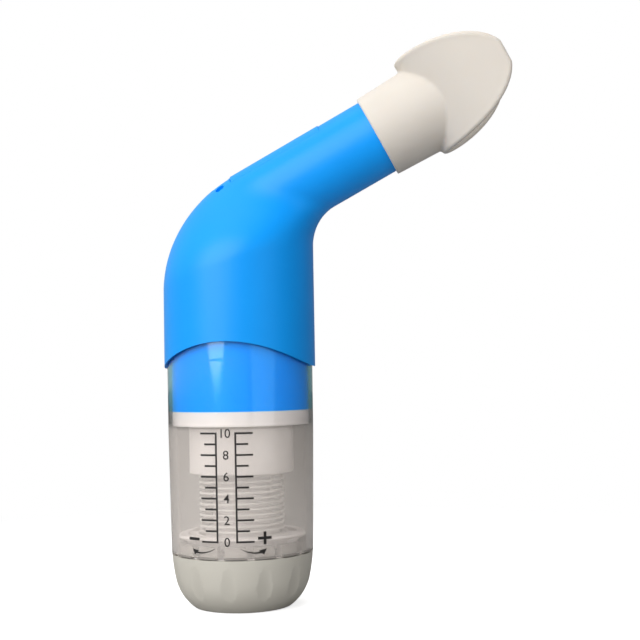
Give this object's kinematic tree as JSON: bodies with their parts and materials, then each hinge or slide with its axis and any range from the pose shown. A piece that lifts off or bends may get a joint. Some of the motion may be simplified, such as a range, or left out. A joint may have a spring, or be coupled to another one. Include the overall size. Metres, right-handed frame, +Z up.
{
  "type": "incentive spirometer",
  "caption": "Hand-held breathing trainer: clear spring chamber with a fluted load knob at its foot, bent blue grip and a soft lip-shield mouthpiece on a slanted tube.",
  "frame": {"origin": "centre of the knob's flat base, on the chamber's axis", "axes": "+Z up the chamber's axis, +X toward the mouthpiece, so the XZ plane is the object's middle plane"},
  "size_m": [0.1218, 0.0522, 0.1932],
  "materials": {
    "blue_cover": "smooth glossy blue moulding",
    "clear_wall": "clear moulded plastic",
    "grey_plastic": "satin grey",
    "white_plastic": "satin white",
    "knob_plastic": "satin warm white",
    "soft_cream": "soft off-white silicone",
    "soft_seal": "soft pale grey silicone",
    "steel": "bright drawn steel"
  },
  "bodies": {
    "housing": {"handle_cover": "blue_cover", "chamber_tube": "clear_wall", "chamber_base_ring": "grey_plastic", "knob_retaining_ring": "steel", "knob_friction_washer": "white_plastic", "spring_guide": "white_plastic", "stem_guide_bush": "grey_plastic", "inner_body": "blue_cover", "chamber_seal_ring": "soft_seal", "spring_top_washer": "steel", "load_spring": "steel", "exhale_valve_seat": "white_plastic", "flap_clamp_bar": "white_plastic", "exhale_valve_cover": "blue_cover", "mouthpiece": "soft_cream"},
    "knob": {"adjuster_knob": "knob_plastic", "knob_drive_shaft": "steel"},
    "valve": {"poppet_disc": "white_plastic", "poppet_seal": "soft_seal"},
    "stem": {"threaded_stem": "white_plastic", "poppet_cap_nut": "steel"},
    "carriage": {"spring_carriage": "white_plastic"},
    "flap": {"exhale_flap": "soft_seal"}
  },
  "joints": [
    {"name": "knob_turn", "type": "hinge", "parent": "housing", "child": "knob", "pos_m": [0, 0, 0.009], "axis": [0, 0, 1], "range_deg": [0, 1800]},
    {"name": "valve_lift", "type": "slide", "parent": "housing", "child": "valve", "axis": [0, 0, 1], "range_m": [0, 0.0014], "stiffness_N_per_m": 300, "springref_m": -0.0015},
    {"name": "stem_turn", "type": "hinge", "parent": "valve", "child": "stem", "pos_m": [0, 0, 0.06], "axis": [0, 0, 1], "range_deg": [0, 1800]},
    {"name": "carriage_slide", "type": "slide", "parent": "valve", "child": "carriage", "axis": [0, 0, 1], "range_m": [0, 0.035], "deforming": ["load_spring"]},
    {"name": "exhale_flap_bend", "type": "hinge", "parent": "housing", "child": "flap", "pos_m": [0.02502, 0, 0.15704], "axis": [0, 1, 0], "range_deg": [0, 5], "stiffness_Nm_per_rad": 0.002, "springref_deg": -2.86}
  ],
  "couplings": [
    {"joint": "knob_turn", "follows": "carriage_slide", "rad_per_m": 897.5},
    {"joint": "stem_turn", "follows": "carriage_slide", "rad_per_m": 897.5}
  ]
}
